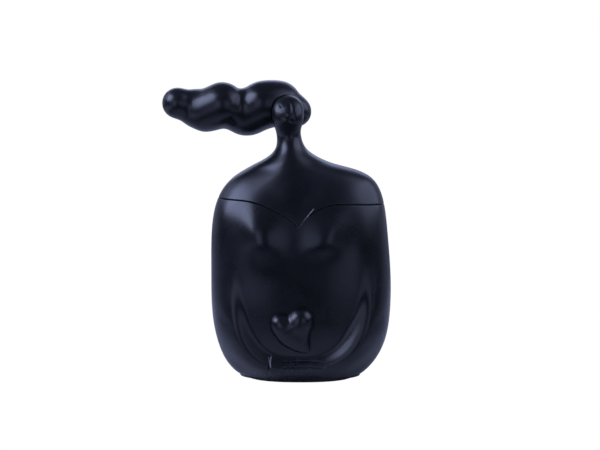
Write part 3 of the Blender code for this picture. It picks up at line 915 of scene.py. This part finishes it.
def floor_paper(name):
    """White paper that glows the same white as the background for the camera, with painted shade out
    in front of the figure that shows only in reflections.
    """
    n = Nodes(name)
    away = n.add("ShaderNodeVectorMath", operation="LENGTH")
    n.put(away.inputs[0], n.place)
    split = n.add("ShaderNodeSeparateXYZ")
    n.put(split.inputs[0], n.place)
    ahead = n.ramp(split.outputs["Y"], FLOOR_FRONT_Y, FLOOR_BACK_Y, 1.0, 0.0)
    aside = n.math("ABSOLUTE", split.outputs["X"])
    past_inner = n.ramp(aside, *BAND_INNER_EDGE)
    beside = n.math("MULTIPLY", past_inner, n.ramp(aside, *BAND_OUTER_EDGE, 1.0, 0.0))
    reach = n.ramp(away.outputs["Value"], FLOOR_NEAR_REACH, FLOOR_FAR_REACH)
    reach = n.math("MULTIPLY", n.math("MULTIPLY", reach, ahead), n.math("SUBTRACT", 1.0, beside))
    # painted shade: the floor's colour darkens out in front of the figure, away from the side bands
    n.put(n.shader.inputs["Base Color"], n.mix(reach, FLOOR_NEAR, FLOOR_PAINTED_SHADE))
    n.shader.inputs["Roughness"].default_value = 0.9
    glow = n.add("ShaderNodeEmission")
    glow.inputs["Strength"].default_value = FLOOR_GLOW
    seen = n.add("ShaderNodeLightPath")
    pick = n.add("ShaderNodeMixShader")
    n.put(pick.inputs["Fac"], n.math("MULTIPLY", seen.outputs["Is Camera Ray"], FLOOR_WHITENESS))
    n.put(pick.inputs[1], n.shader.outputs[0])
    n.put(pick.inputs[2], glow.outputs[0])
    n.put(n.tree.nodes["Material Output"].inputs["Surface"], pick.outputs[0])
    return n.material


# The stage

AIM, CARD_AIM = (0, 0, 0.13), (0, 0, 0.15)
SOFTBOX_COLOR = (0.56, 0.63, 1.0)
# Soft boxes and cards: name, place, what each is aimed at, width and height, and watts
LIGHTS = [
    ("key_core", (-0.70, -0.27, 0.645), AIM, (0.58, 0.50), 6.4),
    ("key_wide", (-0.80, 0.10, 0.72), AIM, (0.80, 0.50), 1.7),
    ("fill_box", (0.77, -0.12, 0.60), AIM, (0.90, 0.58), 3.8),
    ("fill_high", (0.62, -0.14, 0.95), AIM, (0.50, 0.40), 0.6),
    ("left_card", (-0.44, -0.96, 0.22), CARD_AIM, (0.50, 0.80), 1.55),
    ("right_card", (0.44, -0.96, 0.22), CARD_AIM, (0.50, 0.80), 1.1),
    ("back_box", (0.0, 0.95, 0.75), AIM, (1.20, 0.50), 2.6),
]


def area_light(name, place, target, size, power):
    """A soft box at a place, aimed at a target, both in metres."""
    data = bpy.data.lights.new(name, "AREA")
    data.shape = "RECTANGLE"
    data.size, data.size_y = size
    data.energy = power
    data.color = SOFTBOX_COLOR
    lamp = link(bpy.data.objects.new(name, data))
    lamp.visible_camera = False
    lamp.location = place
    lamp.rotation_euler = (Vector(target) - Vector(place)).to_track_quat("-Z", "Y").to_euler()


WORLD_FRONT = (0.022, 0.027, 0.037, 1)
WORLD_BACK = (0.35, 0.38, 0.58, 1)
WORLD_TOP = (0.10, 0.12, 0.18, 1)
# Each ramp blends two colours over a range of the sky direction's part along an axis
WORLD_RAMPS = [
    ("Y", -0.15, 0.55, WORLD_FRONT, WORLD_BACK),
    ("Z", 0.35, 0.75, WORLD_FRONT, WORLD_TOP),
]


def make_world():
    """A white studio: bright behind the figure, dark in front of it, white to look at."""
    world = bpy.data.worlds.new("studio")
    bpy.context.scene.world = world
    world.use_nodes = True
    tree = world.node_tree
    tree.nodes.clear()
    out = tree.nodes.new("ShaderNodeOutputWorld")
    place = tree.nodes.new("ShaderNodeTexCoord")
    split = tree.nodes.new("ShaderNodeSeparateXYZ")
    tree.links.new(place.outputs["Generated"], split.inputs[0])
    color = None
    for axis, low, high, color_low, color_high in WORLD_RAMPS:
        ramp = tree.nodes.new("ShaderNodeMapRange")
        ramp.interpolation_type = "SMOOTHSTEP"
        ramp.inputs["From Min"].default_value = low
        ramp.inputs["From Max"].default_value = high
        mix = tree.nodes.new("ShaderNodeMix")
        mix.data_type = "RGBA"
        mix.inputs["A"].default_value = color_low
        mix.inputs["B"].default_value = color_high
        tree.links.new(split.outputs[axis], ramp.inputs["Value"])
        tree.links.new(ramp.outputs["Result"], mix.inputs["Factor"])
        if color:
            tree.links.new(color, mix.inputs["A"])
        color = mix.outputs["Result"]
    light = tree.nodes.new("ShaderNodeBackground")
    white = tree.nodes.new("ShaderNodeBackground")
    white.inputs["Color"].default_value = (1, 1, 1, 1)
    path = tree.nodes.new("ShaderNodeLightPath")
    pick = tree.nodes.new("ShaderNodeMixShader")
    tree.links.new(color, light.inputs["Color"])
    tree.links.new(path.outputs["Is Camera Ray"], pick.inputs["Fac"])
    tree.links.new(light.outputs[0], pick.inputs[1])
    tree.links.new(white.outputs[0], pick.inputs[2])
    tree.links.new(pick.outputs[0], out.inputs["Surface"])


# The camera, in metres and degrees, with the lens in millimetres
CAMERA_DISTANCE, CAMERA_ELEVATION = 1.23, 5.5
CAMERA_AIM = (-0.0012, 0.0, 0.1275)
CAMERA_LENS = 90


def make_camera():
    """A long lens, straight in front and a little above."""
    data = bpy.data.cameras.new("camera")
    data.lens = CAMERA_LENS
    data.sensor_width = 36
    data.clip_start, data.clip_end = 0.05, 50
    camera = link(bpy.data.objects.new("camera", data))
    tilt = math.radians(CAMERA_ELEVATION)
    back = Vector((0, -math.cos(tilt), math.sin(tilt)))
    camera.location = Vector(CAMERA_AIM) + back * CAMERA_DISTANCE
    camera.rotation_euler = (-back).to_track_quat("-Z", "Y").to_euler()
    bpy.context.scene.camera = camera


# The floor's rings: radius and height
FLOOR_RINGS = [(2600, -40), (2600, -0.2), (2598, 0), (600, 0), (150, 0)]
FLOOR_COLUMNS = 96


def make_floor():
    """A round white floor, wide enough to fill the view from above."""
    turns = np.arange(FLOOR_COLUMNS) * 2 * math.pi / FLOOR_COLUMNS
    rings = [
        np.column_stack([r * np.cos(turns), r * np.sin(turns), np.full(FLOOR_COLUMNS, z)])
        for r, z in FLOOR_RINGS
    ]
    floor = loft("floor", rings)
    floor.data.materials.append(floor_paper("floor_paper"))


# Put together


def place(piece, body, node, slot, finish):
    """Gives a piece its material and its body, and hides the CAD node that it stands for."""
    piece.data.materials.clear()
    piece.data.materials.append(finish)
    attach(piece, body)
    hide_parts(node)


bpy.context.scene.view_settings.view_transform = "Standard"
make_world()
make_camera()
make_floor()
for light in LIGHTS:
    area_light(*light)

place(
    make_torso(),
    "torso",
    "torso_shell",
    "vinyl",
    vinyl(
        "torso_vinyl",
        scuffs=[((-26.2, 25.0), (-24.6, 17.5), 0.55, 0.9)],
        dusty=((6.0, 19.0), 14.0),
    ),
)
place(
    make_bust(),
    "bust",
    "bust_shell",
    "vinyl",
    vinyl("bust_vinyl", scuffs=[((-2.0, 129.6), (9.6, 143.6), 0.5, 0.8)]),
)
place(make_hair(), "hair", "hair_shell", "vinyl", vinyl("hair_vinyl", roughness=0.29))
place(make_heart(), "torso", "heart", "heart_vinyl", vinyl("heart_vinyl"))
place(make_lip(), "bust", "locating_lip", "plastic", plastic("lip_plastic"))
place(make_socket(), "bust", "head_socket", "plastic", plastic("socket_plastic"))
place(make_peg(), "hair", "hair_peg", "plastic", plastic("peg_plastic"))
place(
    rounded_plate("ballast_disc", "ballast_plate", 0.7),
    "torso",
    "ballast_plate",
    "steel",
    plated_steel("plated_steel"),
)
place(rounded_plate("felt_pad", "base_pad", 0.35), "torso", "base_pad", "felt", felt("felt"))
